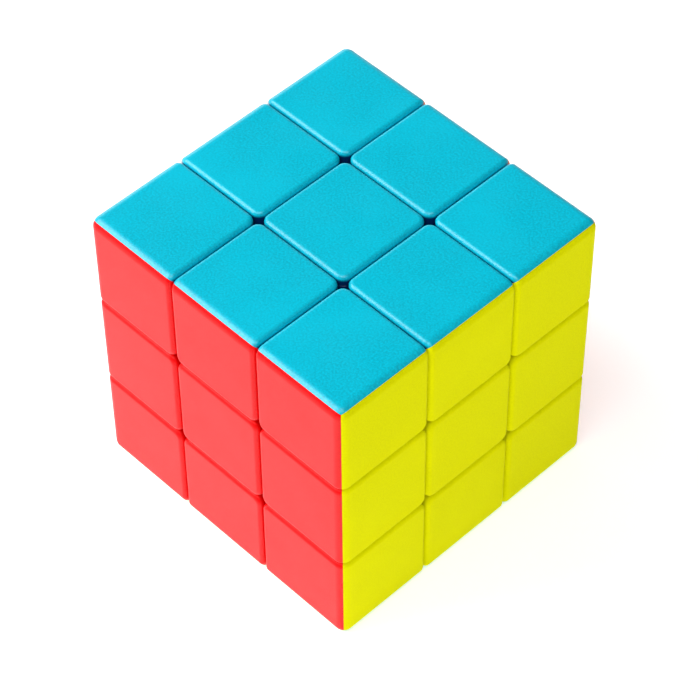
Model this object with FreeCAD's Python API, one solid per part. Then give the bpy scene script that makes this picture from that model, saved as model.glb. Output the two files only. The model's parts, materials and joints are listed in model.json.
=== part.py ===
"""Stickerless 3x3x3 twisty puzzle cube, in millimetres.

Twenty-six coloured pieces ride on a six-armed core. Each face turns about the screw of its centre.
The row frame stands the cube on its bottom face: origin at the middle of that face, +Z up,
front towards -Y and right towards +X. Every shape is modelled about the cube's centre and lifted at the end.
"""

import FreeCAD
import Part
import math
import os

from FreeCAD import Matrix, Placement, Vector

# Driving dimensions
CUBE = 56.0            # across the whole cube
GAP = 0.25             # between two neighbouring pieces
RIDGE_R = 1.75         # radius along the cube's twelve ridges
GAP_EDGE_R = 0.85      # radius of a tile's edges along the gaps
JUNCTION_R = 1.6       # radius of the upright edge where four tiles meet
WALL = 1.4             # moulded wall thickness
TRACK_R = 21.0         # sphere on which the feet run
FOOT_INNER_R = 14.6    # sphere inside the feet
FOOT_PLANE = 6.2       # the feet part from each other on these planes
RUN = 0.3              # running clearance inside the mechanism
FOOT_EDGE_R = 0.9      # radius between the flat sides of a foot
LEAST_R = 0.3          # of an inside corner of the mould

# Locating pegs on the mitre joints
PEG_R = 0.85
PEG_LENGTH = 1.9
PEG_PLAY = 0.06        # radial and end play of a peg in its socket
BOSS_R = 2.0
BOSS_HALF_LENGTH = 3.6
BOSS_INSET = 3.1       # from the outer faces to the peg's axis
EDGE_PEG_OFFSET = 4.9  # of the two pegs of an edge piece from its middle

# Centre piece and what it holds
CAP_PLATE = 1.8        # thickness of the snap-on cap
SEAM_CHAMFER = 0.15    # on the base's rim, under the cap
SKIRT_DEPTH = 2.2
SKIRT_WALL = 1.0
SKIRT_PLAY = 0.08
SKIRT_CORNER_R = 0.9
BASE_CORNER_R = 1.0    # inside the base's walls
BASE_BLANK_LOW = 15.0  # lower than any point of the base's walls
SNAP_R = 0.32
SNAP_LENGTH = 6.0
SNAP_DROP = 1.3        # from the cap's plate to the middle of its snap beads
GROOVE_PLAY = 0.2      # at each end of a snap bead's groove
STEM_R = 6.0
POCKET_R = 4.6
FLOOR_LOW = 12.8       # underside of the floor that the spring presses on
FLOOR_THICK = 1.5
FLOOR_HOLE_R = 1.55
STEM_TOP = 24.6

# Screw, washer and spring
SHANK_R = 1.25
THREAD_PITCH = 0.9
THREAD_DEPTH = 0.3
THREAD_TURNS = 7
SCREW_TIP = 4.9
TIP_LENGTH = 0.7
HEAD_R = 2.9
HEAD_HEIGHT = 1.9
HEAD_DOME = 0.6
DOME_MID_R = 1.8       # where the dome has lost 0.3 of its height
RECESS_REACH = 1.8
RECESS_WIDTH = 0.8
RECESS_DEPTH = 1.1
WASHER_R = 3.9
WASHER_THICK = 0.5
WASHER_HOLE_R = 1.4
WASHER_LOW = 20.3
SPRING_R = 3.2         # to the middle of the wire
WIRE_R = 0.35
SPRING_TURNS = 4.25
SPRING_PLAY = 0.06

# Core
HUB_R = 8.4
HUB_FLAT = 6.9         # half the width between the hub's flats
ARM_ROOT_R = 4.3
ARM_TIP_R = 3.5
ARM_PLAY = 0.15        # between an arm's tip and the centre piece's floor
CORE_HOLE_R = 1.1      # the screw's thread cuts into the wall of this hole
CORE_HOLE_BOTTOM = 4.4

# Derived places
HALF = CUBE / 2
PARTING = CUBE / 6
INNER_WALL = PARTING + GAP / 2     # inner walls of edge and corner pieces
SIDE_WALL = PARTING - GAP / 2      # half the width of a centre or edge piece
FOOT_R = TRACK_R - RUN / 2
CAVITY_R = TRACK_R + RUN / 2
FOOT_LOW = FOOT_PLANE + RUN / 2    # a foot's flat sides towards the slices
FOOT_HALF = FOOT_PLANE - RUN / 2   # half the width of an edge piece's foot
CAP_LOW = HALF - CAP_PLATE
FAR = 2 * CUBE                     # longer than anything here

NORMALS = {
    "top": Vector(0, 0, 1),
    "bottom": Vector(0, 0, -1),
    "front": Vector(0, -1, 0),
    "back": Vector(0, 1, 0),
    "right": Vector(1, 0, 0),
    "left": Vector(-1, 0, 0),
}
COLOURS = {
    "top": "blue",
    "bottom": "green",
    "front": "red",
    "back": "orange",
    "right": "yellow",
    "left": "white",
}


# Helpers

def block(low, high):
    """A box between two corners."""
    low, high = Vector(*low), Vector(*high)
    size = high - low
    return Part.makeBox(size.x, size.y, size.z, low)


def ball(radius):
    return Part.makeSphere(radius)


def rod(radius, start, end):
    """A cylinder between two points."""
    start, end = Vector(*start), Vector(*end)
    return Part.makeCylinder(radius, (end - start).Length, start, end - start)


def edges_where(shape, test):
    """The straight edges of a box-like shape whose two ends both pass a test."""
    return [e for e in shape.Edges if all(test(v.Point) for v in e.Vertexes)]


def turned(shape, x_to, y_to, z_to, lift=0.0):
    """A copy with its X, Y and Z axes carried to three new directions."""
    m = Matrix(
        x_to.x, y_to.x, z_to.x, 0,
        x_to.y, y_to.y, z_to.y, 0,
        x_to.z, y_to.z, z_to.z, lift,
        0, 0, 0, 1,
    )
    copy = shape.copy()
    copy.Placement = Placement(m).multiply(copy.Placement)
    return copy


def near(a, b):
    return abs(a - b) < 1e-6


def gap_edges(cubie):
    """The edges that are still sharp where a cubie's outer tiles and ridges end at the gaps."""
    found = []
    for edge in cubie.Edges:
        at = edge.valueAt((edge.FirstParameter + edge.LastParameter) / 2)
        faces = cubie.ancestorsOfType(edge, Part.Face)
        if len(faces) < 2 or all(c < HALF - RIDGE_R for v in edge.Vertexes for c in v.Point):
            continue
        a, b = (f.normalAt(*f.Surface.parameter(at)) for f in faces)
        if a.dot(b) < 0.5:
            found.append(edge)
    return found


# Corner piece: three congruent coloured shells round the diagonal (1, 1, 1)

def corner_cubie():
    """The visible block of a corner piece, rounded inside at the tile junctions and outside all over."""
    cube = block((INNER_WALL,) * 3, (HALF,) * 3)

    def inner(p):
        return sum(near(c, INNER_WALL) for c in p) >= 2

    cube = cube.makeFillet(JUNCTION_R, edges_where(cube, inner))

    def ridge(p):
        return sum(near(c, HALF) for c in p) >= 2

    cube = cube.makeFillet(RIDGE_R, edges_where(cube, ridge))
    return cube.makeFillet(GAP_EDGE_R, gap_edges(cube))


def corner_foot(inset=0.0):
    """The foot that runs under the neighbouring pieces. With an inset, the hollow inside it."""
    low = FOOT_LOW + inset
    cube = block((low,) * 3, (TRACK_R,) * 3)

    def inner(p):
        return sum(near(c, low) for c in p) >= 2

    cube = cube.makeFillet(max(FOOT_EDGE_R - inset, LEAST_R), edges_where(cube, inner))
    return cube.common(ball(FOOT_R - inset)).cut(ball(FOOT_INNER_R + inset))


def corner_boss():
    """The boss for the peg between the Z and X shells."""
    axis = Vector(1, 0, -1).normalize() * BOSS_HALF_LENGTH
    at = Vector(HALF - BOSS_INSET, (HALF + INNER_WALL) / 2, HALF - BOSS_INSET)
    return rod(BOSS_R, at - axis, at + axis)


def corner_shell():
    """The corner's shell on its +Z face: everything nearer that face than the +X and +Y faces."""
    cubie = corner_cubie()
    solid = cubie.fuse(corner_foot())
    low = INNER_WALL + WALL
    hollow = block((low,) * 3, (HALF - WALL,) * 3).fuse(corner_foot(WALL))
    z_x_boss = corner_boss()
    z_y_boss = third_turn(third_turn(z_x_boss))
    bosses = z_x_boss.fuse(z_y_boss).common(block((low - WALL / 2,) * 3, (HALF - WALL / 2,) * 3))
    whole = solid.cut(hollow.cut(bosses))
    shell = whole.common(pyramid(HALF + 1))
    # a peg stands out of the mitre face towards +X, and a socket lies in the one towards +Y
    at = Vector(HALF - BOSS_INSET, (HALF + INNER_WALL) / 2, HALF - BOSS_INSET)
    out = Vector(1, 0, -1).normalize()
    peg = rod(PEG_R, at - out, at + out * PEG_LENGTH)
    at = Vector(at.y, at.x, at.z)
    into = Vector(0, -1, 1).normalize()
    socket = rod(PEG_R + PEG_PLAY, at - into, at + into * (PEG_LENGTH + PEG_PLAY))
    return shell.fuse(peg).cut(socket)


def pyramid(height):
    """The space 0 < x < z, 0 < y < z, up to a height."""
    tip = Vector(0, 0, 0)
    base = [Vector(x * height, y * height, height) for x, y in ((0, 0), (1, 0), (1, 1), (0, 1))]
    faces = [Part.Face(Part.makePolygon(base + base[:1]))]
    for a, b in zip(base, base[1:] + base[:1]):
        faces.append(Part.Face(Part.makePolygon([tip, a, b, tip])))
    return Part.makeSolid(Part.makeShell(faces))


def third_turn(shape):
    """A copy turned a third of a turn about the diagonal, which carries Z to X, X to Y and Y to Z."""
    return turned(shape, Vector(0, 1, 0), Vector(0, 0, 1), Vector(1, 0, 0))


# Edge piece: two congruent coloured shells either side of the mitre plane y = z

def edge_cubie():
    """The visible block of an edge piece, with its ridge along X at the +Y and +Z faces."""
    cube = block((-SIDE_WALL, INNER_WALL, INNER_WALL), (SIDE_WALL, HALF, HALF))

    def at_junction(edge):
        a, b = (v.Point for v in edge.Vertexes)
        upright = near(a.x, b.x)
        return upright and any(near(a[k], INNER_WALL) and near(b[k], INNER_WALL) for k in (1, 2))

    cube = cube.makeFillet(JUNCTION_R, [e for e in cube.Edges if at_junction(e)])

    def ridge(p):
        return near(p.y, HALF) and near(p.z, HALF)

    cube = cube.makeFillet(RIDGE_R, edges_where(cube, ridge))
    return cube.makeFillet(GAP_EDGE_R, gap_edges(cube))


def edge_foot(inset=0.0):
    """The foot that runs under the two neighbouring centres. With an inset, the hollow inside it."""
    low, half = FOOT_LOW + inset, FOOT_HALF - inset
    cube = block((-half, low, low), (half, TRACK_R, TRACK_R))

    def side(edge):
        a, b = (v.Point for v in edge.Vertexes)
        return near(a.x, b.x) and any(near(a[k], low) and near(b[k], low) for k in (1, 2))

    cube = cube.makeFillet(max(FOOT_EDGE_R - inset, LEAST_R), [e for e in cube.Edges if side(e)])
    return cube.common(ball(FOOT_R - inset)).cut(ball(FOOT_INNER_R + inset))


def edge_neck(inset=0.0):
    """The neck that joins the visible block to the foot, between the corner pieces' feet."""
    half, low = FOOT_HALF - inset, INNER_WALL + inset
    return block((-half, low, low), (half, TRACK_R, TRACK_R)).common(ball(CAVITY_R + WALL + inset / 2))


def edge_shell():
    """The edge's shell on its +Z face: the half where z is more than y."""
    solid = edge_cubie().cut(ball(CAVITY_R)).fuse([edge_neck(), edge_foot()])
    low = INNER_WALL + WALL
    box = block((WALL - SIDE_WALL, low, low), (SIDE_WALL - WALL, HALF - WALL, HALF - WALL))
    hollow = box.cut(ball(CAVITY_R + WALL)).fuse([edge_neck(WALL), edge_foot(WALL)])
    out = Vector(0, 1, -1).normalize()
    places = [Vector(x, HALF - BOSS_INSET, HALF - BOSS_INSET) for x in (EDGE_PEG_OFFSET, -EDGE_PEG_OFFSET)]
    bosses = [rod(BOSS_R, p - out * BOSS_HALF_LENGTH, p + out * BOSS_HALF_LENGTH) for p in places]
    skin = WALL / 2
    room = block((skin - SIDE_WALL, low - skin, low - skin), (SIDE_WALL - skin, HALF - skin, HALF - skin))
    whole = solid.cut(hollow.cut(bosses[0].fuse(bosses[1]).common(room)))
    shell = whole.common(half_space_prism(HALF + 1))
    peg = rod(PEG_R, places[0] - out, places[0] + out * PEG_LENGTH)
    socket = rod(PEG_R + PEG_PLAY, places[1] + out, places[1] - out * (PEG_LENGTH + PEG_PLAY))
    return shell.fuse(peg).cut(socket)


def half_space_prism(height):
    """The space 0 < y < z up to a height, across the whole width in X."""
    corners = [Vector(-FAR, 0, 0), Vector(-FAR, height, height), Vector(-FAR, 0, height)]
    return Part.Face(Part.makePolygon(corners + corners[:1])).extrude(Vector(2 * FAR, 0, 0))


def half_turn(shape):
    """A copy turned half a turn about the line y = z, x = 0, which swaps the +Y and +Z faces."""
    return turned(shape, Vector(-1, 0, 0), Vector(0, 0, 1), Vector(0, 1, 0))


# Centre piece: a base that turns on the screw, and a cap that snaps over it

def square_column(half, low, high, radius):
    """A square column about Z with rounded upright edges."""
    column = block((-half, -half, low), (half, half, high))
    upright = [e for e in column.Edges if not near(e.Vertexes[0].Point.z, e.Vertexes[1].Point.z)]
    return column.makeFillet(radius, upright)


def snap_beads(radius, length):
    """Four short beads round the cap's skirt, one in the middle of each side."""
    at, z = SIDE_WALL - WALL - SKIRT_PLAY, CAP_LOW - SNAP_DROP
    beads = []
    for sx, sy in ((1, 0), (-1, 0), (0, 1), (0, -1)):
        middle = Vector(sx * at, sy * at, z)
        along = Vector(sy, sx, 0) * (length / 2)
        beads.append(rod(radius, middle - along, middle + along))
    return beads


def centre_base():
    body = square_column(SIDE_WALL, BASE_BLANK_LOW, CAP_LOW, JUNCTION_R)
    rim = [e for e in body.Edges if all(near(v.Point.z, CAP_LOW) for v in e.Vertexes)]
    body = body.makeChamfer(SEAM_CHAMFER, rim).cut(ball(CAVITY_R))
    inside = square_column(SIDE_WALL - WALL, BASE_BLANK_LOW, HALF, BASE_CORNER_R).cut(ball(CAVITY_R + WALL))
    stem = rod(STEM_R, (0, 0, FLOOR_LOW), (0, 0, STEM_TOP))
    body = body.cut(inside).fuse(stem)
    body = body.cut(rod(POCKET_R, (0, 0, FLOOR_LOW + FLOOR_THICK), (0, 0, HALF)))
    body = body.cut(rod(FLOOR_HOLE_R, (0, 0, 0), (0, 0, HALF)))
    return body.cut(snap_beads(SNAP_R + PEG_PLAY, SNAP_LENGTH + 2 * GROOVE_PLAY))


def centre_cap():
    plate = square_column(SIDE_WALL, CAP_LOW, HALF, JUNCTION_R)
    rim = [e for e in plate.Edges if all(near(v.Point.z, HALF) for v in e.Vertexes)]
    plate = plate.makeFillet(GAP_EDGE_R, rim)
    half = SIDE_WALL - WALL - SKIRT_PLAY
    low = CAP_LOW - SKIRT_DEPTH
    inner = half - SKIRT_WALL
    skirt = square_column(half, low, CAP_LOW, SKIRT_CORNER_R)
    skirt = skirt.cut(block((-inner, -inner, low), (inner, inner, CAP_LOW)))
    return plate.fuse([skirt] + snap_beads(SNAP_R, SNAP_LENGTH)).removeSplitter()


# What turns the faces on the core: screws, washers and springs, each about +Z

def tension_screw():
    """A pan-head screw, its thread cut as rings."""
    head_low = WASHER_LOW + WASHER_THICK
    head_top = head_low + HEAD_HEIGHT
    root = SHANK_R - THREAD_DEPTH
    thread_low = SCREW_TIP + TIP_LENGTH
    outline = [Vector(0, 0, SCREW_TIP), Vector(root, 0, thread_low)]
    for i in range(THREAD_TURNS):
        z = thread_low + i * THREAD_PITCH
        outline += [Vector(SHANK_R, 0, z + THREAD_PITCH / 2), Vector(root, 0, z + THREAD_PITCH)]
    neck = outline[-1].z + THREAD_DEPTH
    outline += [
        Vector(SHANK_R, 0, neck),
        Vector(SHANK_R, 0, head_low),
        Vector(HEAD_R, 0, head_low),
        Vector(HEAD_R, 0, head_top - HEAD_DOME),
    ]
    edges = [Part.LineSegment(a, b).toShape() for a, b in zip(outline, outline[1:])]
    dome_mid = Vector(DOME_MID_R, 0, head_top - 0.3 * HEAD_DOME)
    top = Vector(0, 0, head_top)
    edges.append(Part.Arc(outline[-1], dome_mid, top).toShape())
    edges.append(Part.LineSegment(top, outline[0]).toShape())
    screw = Part.Face(Part.Wire(edges)).revolve(Vector(0, 0, 0), Vector(0, 0, 1), 360)
    low, half = head_top - RECESS_DEPTH, RECESS_WIDTH / 2
    recess = block((-RECESS_REACH, -half, low), (RECESS_REACH, half, HALF))
    recess = recess.fuse(block((-half, -RECESS_REACH, low), (half, RECESS_REACH, HALF)))
    return Part.Solid(screw).cut(recess)


def washer():
    high = WASHER_LOW + WASHER_THICK
    return rod(WASHER_R, (0, 0, WASHER_LOW), (0, 0, high)).cut(rod(WASHER_HOLE_R, (0, 0, 0), (0, 0, HALF)))


def spring():
    """A compression spring, its helix made of quarter-turn arcs."""
    low = FLOOR_LOW + FLOOR_THICK + SPRING_PLAY + WIRE_R
    high = WASHER_LOW - SPRING_PLAY - WIRE_R
    quarters = round(4 * SPRING_TURNS)

    def at(quarter):
        turn = quarter * math.pi / 2
        rise = (high - low) * quarter / quarters
        return Vector(SPRING_R * math.cos(turn), SPRING_R * math.sin(turn), low + rise)

    path = Part.Wire([Part.Arc(at(k), at(k + 0.5), at(k + 1)).toShape() for k in range(quarters)])
    along = Vector(0, 2 * math.pi * SPRING_R, (high - low) / SPRING_TURNS)
    section = Part.Wire(Part.makeCircle(WIRE_R, at(0), along))
    return path.makePipeShell([section], True, True)


# Core: a hub with six arms, one to a face

def core_spider():
    hub = ball(HUB_R).common(block((-HUB_FLAT,) * 3, (HUB_FLAT,) * 3))
    tip = FLOOR_LOW - ARM_PLAY
    arms = [Part.makeCone(ARM_ROOT_R, ARM_TIP_R, tip, Vector(0, 0, 0), n) for n in NORMALS.values()]
    core = hub.fuse(arms).removeSplitter()
    bore = rod(CORE_HOLE_R, (0, 0, CORE_HOLE_BOTTOM), (0, 0, HALF)).fuse(tension_screw())
    return core.cut([to_face(bore, face, 0.0) for face in NORMALS])


# Placing

def to_face(shape, face, lift=HALF):
    """A copy of a shape modelled about +Z, on one of the six faces, lifted into the row frame."""
    z = NORMALS[face]
    x = Vector(0, 1, 0) if abs(z.x) > 0.5 else Vector(1, 0, 0)
    return turned(shape, x, z.cross(x), z, lift)


def edge_pieces():
    """(face, other face, shell on the first face, shell on the other) for the twelve edge pieces."""
    shells = {"z": edge_shell()}
    shells["y"] = half_turn(shells["z"])
    ends = ("top", "bottom")
    around = ("front", "right", "back", "left")
    pairs = [(a, b) for a in ends for b in around] + list(zip(around, around[1:] + around[:1]))
    for a, b in pairs:
        z, y = NORMALS[a], NORMALS[b]
        placed = [turned(shells[k], y.cross(z), y, z, HALF) for k in ("z", "y")]
        yield a, b, placed[0], placed[1]


def corner_pieces():
    """(the corner's three faces, {face: its shell}) for the eight corner pieces."""
    shells = [corner_shell()]
    shells.append(third_turn(shells[0]))
    shells.append(third_turn(shells[1]))
    for end in ("top", "bottom"):
        for a, b in (("front", "right"), ("right", "back"), ("back", "left"), ("left", "front")):
            z, x, y = NORMALS[end], NORMALS[a], NORMALS[b]
            if x.cross(y).dot(z) < 0:
                a, b, x, y = b, a, y, x
            faces = dict(zip((end, a, b), (turned(s, x, y, z, HALF) for s in shells)))
            yield faces


def write(name, shapes):
    shape = shapes[0] if len(shapes) == 1 else Part.makeCompound(shapes)
    volume = sum(s.Volume for s in shapes)
    sound = all(s.isValid() and len(s.Solids) == 1 for s in shapes)
    print(f"{name:38s} {len(shapes)} solids {volume:9.1f} mm3 {'' if sound else 'NOT SOUND'}")
    shape.exportStep(f"parts/{name}.step")


def main():
    os.makedirs("parts", exist_ok=True)
    write("core_spider", [to_face(core_spider(), "top")])
    sprung = {"tension_screws": tension_screw(), "spring_washers": washer(), "tension_springs": spring()}
    for name, made in sprung.items():
        write(name, [to_face(made, face) for face in NORMALS])
    base, cap = centre_base(), centre_cap()
    for face, colour in COLOURS.items():
        write(f"centre_{face}_{colour}", [to_face(base, face), to_face(cap, face)])
    for a, b, shell_a, shell_b in edge_pieces():
        write(f"edge_{a}_{b}_{COLOURS[a]}_shell", [shell_a])
        write(f"edge_{a}_{b}_{COLOURS[b]}_shell", [shell_b])
    for faces in corner_pieces():
        place = "_".join(f for f in ("top", "bottom", "front", "back", "left", "right") if f in faces)
        for face, shell in faces.items():
            write(f"corner_{place}_{COLOURS[face]}_shell", [shell])


main()
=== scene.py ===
"""Looks of the stickerless puzzle cube: frosted coloured plastic on a plain pale floor, in metres."""

import json
import math

import bpy
from mathutils import Matrix, Vector


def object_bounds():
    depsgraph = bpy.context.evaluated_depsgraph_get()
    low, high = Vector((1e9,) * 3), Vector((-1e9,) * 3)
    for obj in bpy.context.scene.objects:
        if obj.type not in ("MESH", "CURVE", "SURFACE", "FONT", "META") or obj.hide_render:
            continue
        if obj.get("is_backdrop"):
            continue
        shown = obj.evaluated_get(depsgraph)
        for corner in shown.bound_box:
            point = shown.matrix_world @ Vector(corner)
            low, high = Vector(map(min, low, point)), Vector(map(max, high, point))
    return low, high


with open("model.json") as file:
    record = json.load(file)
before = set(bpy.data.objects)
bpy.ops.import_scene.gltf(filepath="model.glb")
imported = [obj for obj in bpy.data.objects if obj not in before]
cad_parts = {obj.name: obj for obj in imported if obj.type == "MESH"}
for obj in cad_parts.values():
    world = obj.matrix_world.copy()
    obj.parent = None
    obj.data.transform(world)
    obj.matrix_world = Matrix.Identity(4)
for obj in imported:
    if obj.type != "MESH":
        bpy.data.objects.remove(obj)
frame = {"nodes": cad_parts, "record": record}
cad_low, cad_high = (Vector(corner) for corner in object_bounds())
CENTRE = (cad_low + cad_high) / 2
CUBE = cad_high.z - cad_low.z

# Camera, as an azimuth from -Y towards +X, an elevation, a roll and a distance from the point it looks at
VIEW_AZIMUTH = 46.0
VIEW_ELEVATION = 49.48
VIEW_ROLL = -0.524
VIEW_DISTANCE = 0.4540
AIM_OFFSET = Vector((0.00252, -0.00142, 0.0))
LENS_MM = 145.003
SENSOR_MM = 36.0
CLIP = (0.01, 50.0)

# Moulded plastics: (linear colour, linear colour of the painted shade in the mouths of the gaps, what the
# grain's dark spots keep of the colour, specular level)
PLASTICS = {
    "blue_plastic": ((0.0003, 0.585, 0.775), (0.0005, 0.037, 0.17), 0.74, 0.5),
    "red_plastic": ((0.88, 0.004, 0.005), (0.80, 0.002, 0.002), 0.90, 0.16),
    "yellow_plastic": ((0.885, 0.885, 0.001), (0.82, 0.81, 0.001), 0.93, 0.004),
    "green_plastic": ((0.01, 0.42, 0.09), (0.005, 0.20, 0.05), 0.90, 0.25),
    "orange_plastic": ((0.92, 0.22, 0.008), (0.60, 0.12, 0.004), 0.92, 0.2),
    "white_plastic": ((0.56, 0.57, 0.58), (0.38, 0.39, 0.40), 0.94, 0.4),
    "core_plastic": ((0.55, 0.57, 0.60), (0.55, 0.57, 0.60), 0.94, 0.4),
}
PALE = 1.04                # the flow marks' colour, against the plastic's own
PALEST = 0.95              # no plastic is paler than this
PLASTIC_IOR = 1.5
ROUGHNESS = (0.31, 0.37)   # from the most handled to the least handled spots of a tile
EDGE_POLISH = 0.06         # how much smoother the rounded edges have worn
FLAT = 0.995               # a normal's largest part, where the edges begin to round
ROUND = 0.72               # and where they are turned 45 degrees
GRAIN_DEPTH = 0.00004      # of the mould's spark-eroded grain
GRAIN_RELIEF = 0.4
FINE_SHARE = 0.4           # of the finer grain in the relief

# Painted shade on the walls of the gaps, by depth under the cube's faces
GAP_MOUTH = 0.0009                                  # where the gaps' rounded lips end
GAP_SHADE_STARTS = (0.6 * GAP_MOUTH, 1.1 * GAP_MOUTH)   # from none to all of it
GAP_SHADE_ENDS = (3 * GAP_MOUTH, 5 * GAP_MOUTH)         # from all of it to none

# Plated steel
STEEL_CLEAN = (0.62, 0.62, 0.64, 1)
STEEL_STAINED = (0.48, 0.48, 0.50, 1)
STEEL_ROUGHNESS = (0.25, 0.42)
DRAWING_DEPTH = 0.00002
DRAWING_RELIEF = 0.3

# Noises: (scale per metre, detail, roughness)
GRAIN = (3000.0, 3.0, 0.6)
FINE_GRAIN = (9000.0, 1.0, 0.5)
SMUDGES = (140.0, 4.0, 0.65)
FLOW_MARKS = (55.0, 3.0, 0.55)
DRAWING_MARKS = (2500.0, 2.0, 0.5)
STAINS = (300.0, 3.0, 0.5)
PAPER_FIBRES = (900.0, 3.0, 0.5)

# How far into its noise each of them starts and ends
GRAIN_SPREAD = (0.36, 0.64)
FLOW_SPREAD = (0.45, 0.75)
SMUDGE_SPREAD = (0.3, 0.7)
STAIN_SPREAD = (0.35, 0.7)
DRAWING_SPREAD = (0.3, 0.7)
FLOW_STRENGTH = 0.6        # of the palest flow marks

# Softboxes that face the cube: (azimuth from the camera's, elevation, distance, width, height, power)
SOFTBOXES = {
    "key": (-96.0, 38.0, 1.1, 0.8, 0.8, 12.0),
    "overhead": (-6.0, 63.0, 1.2, 1.2, 0.8, 9.4),
    "back": (-164.0, 11.0, 1.5, 1.6, 0.5, 4.8),
}
WHITE = (1.0, 1.0, 1.0, 1.0)
SKY_AZIMUTH = 70.0         # of the room's brightest side, from the camera's
SKY_FACING = (-0.1, 0.9)   # cosines to that side, from the room's dimmest to its brightest
SKY_STRENGTH = (0.01, 0.06)
FLOOR_REACH = 40           # from the middle to a side, in cubes
FLOOR_LEVEL = -0.00002     # a hair under the cube, so that it shares no plane with the base
FLOOR_GLOW = 0.5           # the pale sheet is lit from below, as on a light table
FLOOR_ROUGHNESS = 0.9
PAPER = (0.96, 0.96, 0.96, 1)
PAPER_FIBRE = (0.98, 0.98, 0.98, 1)


# Nodes

# The sockets of Blender's Mix node that mix colours; its others mix numbers and vectors
MIX_INPUTS = (0, 6, 7)     # the factor and the two colours
MIX_OUTPUT = 2


class Nodes:
    """A short way to add and link a material's or a world's shader nodes."""

    def __init__(self, owner):
        owner.use_nodes = True
        self.tree = owner.node_tree
        self.tree.nodes.clear()

    def put(self, value, socket):
        """Links an output to a socket, or sets the socket to a plain value."""
        if isinstance(value, bpy.types.NodeSocket):
            self.tree.links.new(value, socket)
        else:
            socket.default_value = value

    def add(self, kind, inputs=None, **settings):
        node = self.tree.nodes.new(kind)
        for name, value in settings.items():
            setattr(node, name, value)
        for name, value in (inputs or {}).items():
            self.put(value, node.inputs[name])
        return node

    def calculate(self, operation, a, b=0.0):
        return self.add("ShaderNodeMath", {0: a, 1: b}, operation=operation).outputs[0]

    def spread(self, value, limits, to_limits):
        """A value's range carried to another, clamped."""
        low, high = limits
        to_low, to_high = to_limits
        names = {"Value": value, "From Min": low, "From Max": high, "To Min": to_low, "To Max": to_high}
        return self.add("ShaderNodeMapRange", names).outputs["Result"]

    def noise(self, where, look):
        scale, detail, roughness = look
        inputs = {"Vector": where, "Scale": scale, "Detail": detail, "Roughness": roughness}
        return self.add("ShaderNodeTexNoise", inputs).outputs["Fac"]

    def tint(self, fac, a, b):
        """Colour a where fac is 0, and colour b where it is 1."""
        node = self.add("ShaderNodeMix", data_type="RGBA")
        for index, value in zip(MIX_INPUTS, (fac, a, b)):
            self.put(value, node.inputs[index])
        return node.outputs[MIX_OUTPUT]

    def largest_part(self, vector):
        """The largest of a vector's three parts, whatever their signs."""
        split = self.add("ShaderNodeSeparateXYZ", {0: vector})
        x, y, z = (self.calculate("ABSOLUTE", out) for out in split.outputs)
        return self.calculate("MAXIMUM", self.calculate("MAXIMUM", x, y), z)

    def relief(self, height, strength, depth):
        bump = self.add("ShaderNodeBump", {"Strength": strength, "Distance": depth, "Height": height})
        return bump.outputs[0]


def new_material(name):
    material = bpy.data.materials.new(name)
    return material, Nodes(material)


def rounding(nodes, normal):
    """0 on the flat tiles, 1 where the surface is turned 45 degrees from all the cube's faces."""
    return nodes.spread(nodes.largest_part(normal), (FLAT, ROUND), (0.0, 1.0))


def gap_painted_shade(nodes, where):
    """1 on the walls just inside the gaps, which are darkened as painted shade, and 0 outside and deep
    inside.
    """
    from_centre = nodes.add("ShaderNodeVectorMath", {0: where, 1: CENTRE}, operation="SUBTRACT").outputs[0]
    depth = nodes.calculate("SUBTRACT", CUBE / 2, nodes.largest_part(from_centre))
    entered = nodes.spread(depth, GAP_SHADE_STARTS, (0.0, 1.0))
    within = nodes.spread(depth, GAP_SHADE_ENDS, (1.0, 0.0))
    return nodes.calculate("MULTIPLY", entered, within)


def frosted_plastic(name, colour, gap_shade_colour, dark, specular):
    """Plastic coloured all through, with a fine spark-eroded grain, polished on the edges by handling, and
    with painted shade on the walls just inside the gaps.
    """
    material, nodes = new_material(name)
    at = nodes.add("ShaderNodeTexCoord")
    where, normal = at.outputs["Object"], at.outputs["Normal"]
    grain = nodes.noise(where, GRAIN)
    fine = nodes.noise(where, FINE_GRAIN)
    flow = nodes.noise(where, FLOW_MARKS)
    smudge = nodes.noise(where, SMUDGES)
    full = (*colour, 1.0)
    deep = (*(c * dark for c in colour), 1.0)
    pale = (*(min(PALE * c, PALEST) for c in colour), 1.0)
    speckled = nodes.tint(nodes.spread(grain, GRAIN_SPREAD, (0.0, 1.0)), deep, full)
    clouded = nodes.tint(nodes.spread(flow, FLOW_SPREAD, (0.0, FLOW_STRENGTH)), speckled, pale)
    # Painted shade: the walls just under the faces, inside the gaps, take the darker gap colour
    gap_shaded = nodes.tint(gap_painted_shade(nodes, where), clouded, (*gap_shade_colour, 1.0))
    handled = nodes.spread(smudge, SMUDGE_SPREAD, ROUGHNESS)
    polish = nodes.calculate("MULTIPLY", rounding(nodes, normal), EDGE_POLISH)
    height = nodes.calculate("ADD", grain, nodes.calculate("MULTIPLY", fine, FINE_SHARE))
    shader = nodes.add("ShaderNodeBsdfPrincipled", {
        "Base Color": gap_shaded, "Roughness": nodes.calculate("SUBTRACT", handled, polish),
        "Normal": nodes.relief(height, GRAIN_RELIEF, GRAIN_DEPTH),
        "IOR": PLASTIC_IOR, "Specular IOR Level": specular,
    })
    nodes.add("ShaderNodeOutputMaterial", {0: shader.outputs[0]})
    return material


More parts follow.
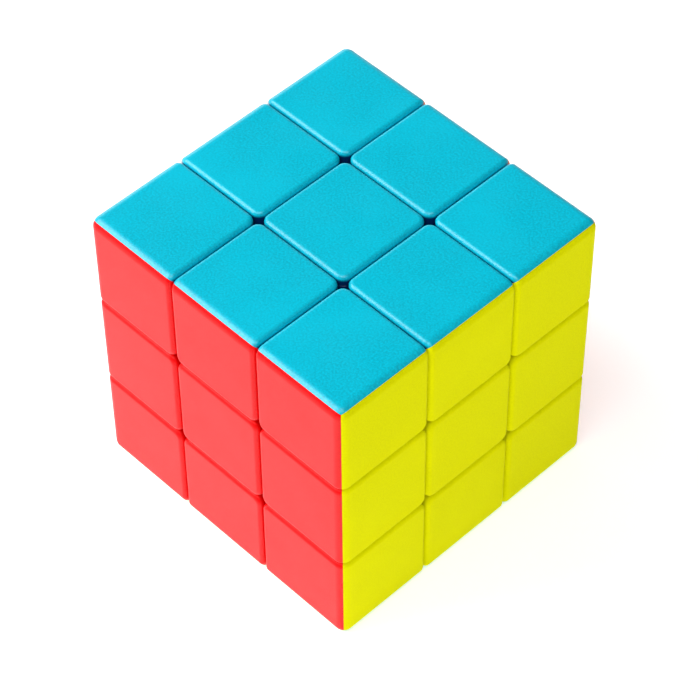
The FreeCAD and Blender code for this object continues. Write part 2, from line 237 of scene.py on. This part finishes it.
def steel(name):
    """Zinc-plated steel with fine drawing marks."""
    material, nodes = new_material(name)
    where = nodes.add("ShaderNodeTexCoord").outputs["Object"]
    marks = nodes.noise(where, DRAWING_MARKS)
    stain = nodes.noise(where, STAINS)
    shader = nodes.add("ShaderNodeBsdfPrincipled", {
        "Base Color": nodes.tint(nodes.spread(stain, STAIN_SPREAD, (0.0, 1.0)), STEEL_CLEAN, STEEL_STAINED),
        "Roughness": nodes.spread(marks, DRAWING_SPREAD, STEEL_ROUGHNESS),
        "Metallic": 1.0, "Normal": nodes.relief(marks, DRAWING_RELIEF, DRAWING_DEPTH),
    })
    nodes.add("ShaderNodeOutputMaterial", {0: shader.outputs[0]})
    return material


# The object

def dress():
    """Gives every CAD node the material of its slot in the record."""
    materials = {slot: frosted_plastic(slot, *look) for slot, look in PLASTICS.items()}
    materials["steel"] = steel("steel")
    for part in frame["record"]["subparts"]:
        node = frame["nodes"][part["node"]]
        node.data.materials.clear()
        node.data.materials.append(materials[part["material_slot"]])


# The studio

def direction(azimuth, elevation):
    """A unit vector towards an azimuth from -Y towards +X and an elevation, both in degrees."""
    a, e = math.radians(azimuth), math.radians(elevation)
    return Vector((math.sin(a) * math.cos(e), -math.cos(a) * math.cos(e), math.sin(e)))


def place(name, data):
    """A new object of the scene that holds this data."""
    thing = bpy.data.objects.new(name, data)
    bpy.context.scene.collection.objects.link(thing)
    return thing


def floor():
    """A plain pale sheet, far larger than the cube."""
    half = FLOOR_REACH * CUBE
    corners = [(x * half, y * half, FLOOR_LEVEL) for x, y in ((-1, -1), (1, -1), (1, 1), (-1, 1))]
    mesh = bpy.data.meshes.new("floor")
    mesh.from_pydata(corners, [], [(0, 1, 2, 3)])
    material, nodes = new_material("floor_paper")
    where = nodes.add("ShaderNodeTexCoord").outputs["Object"]
    shader = nodes.add("ShaderNodeBsdfPrincipled", {
        "Base Color": nodes.tint(nodes.noise(where, PAPER_FIBRES), PAPER, PAPER_FIBRE),
        "Roughness": FLOOR_ROUGHNESS, "Emission Color": WHITE, "Emission Strength": FLOOR_GLOW,
    })
    nodes.add("ShaderNodeOutputMaterial", {0: shader.outputs[0]})
    mesh.materials.append(material)
    sheet = place("floor", mesh)
    sheet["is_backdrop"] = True


def softbox(name, azimuth, elevation, distance, width, height, power):
    """A rectangular light that faces the cube's middle."""
    light = bpy.data.lights.new(name, "AREA")
    light.shape = "RECTANGLE"
    light.size = width
    light.size_y = height
    light.energy = power
    back = direction(VIEW_AZIMUTH + azimuth, elevation)
    lamp = place(name, light)
    lamp.location = CENTRE + distance * back
    lamp.rotation_euler = back.to_track_quat("Z", "Y").to_euler()


def studio():
    """Softboxes in a dim room whose brightest side is at the camera's right."""
    world = bpy.data.worlds.new("studio")
    nodes = Nodes(world)
    towards = nodes.add("ShaderNodeTexCoord").outputs["Generated"]
    brightest = direction(VIEW_AZIMUTH + SKY_AZIMUTH, 0)
    facing = nodes.add("ShaderNodeVectorMath", {0: towards, 1: brightest}, operation="DOT_PRODUCT")
    strength = nodes.spread(facing.outputs["Value"], SKY_FACING, SKY_STRENGTH)
    sky = nodes.add("ShaderNodeBackground", {"Color": WHITE, "Strength": strength})
    nodes.add("ShaderNodeOutputWorld", {0: sky.outputs[0]})
    bpy.context.scene.world = world
    for name, settings in SOFTBOXES.items():
        softbox(name, *settings)


def camera():
    """A long lens that looks down on the front right edge."""
    lens = bpy.data.cameras.new("camera")
    lens.sensor_width = SENSOR_MM
    lens.lens = LENS_MM
    lens.clip_start, lens.clip_end = CLIP
    back = direction(VIEW_AZIMUTH, VIEW_ELEVATION)
    turn = back.to_track_quat("Z", "Y").to_matrix().to_4x4()
    roll = Matrix.Rotation(math.radians(VIEW_ROLL), 4, "Z")
    eye = place("camera", lens)
    eye.matrix_world = Matrix.Translation(CENTRE + AIM_OFFSET + VIEW_DISTANCE * back) @ turn @ roll
    bpy.context.scene.camera = eye


dress()
floor()
studio()
camera()
bpy.context.scene.view_settings.view_transform = "Standard"
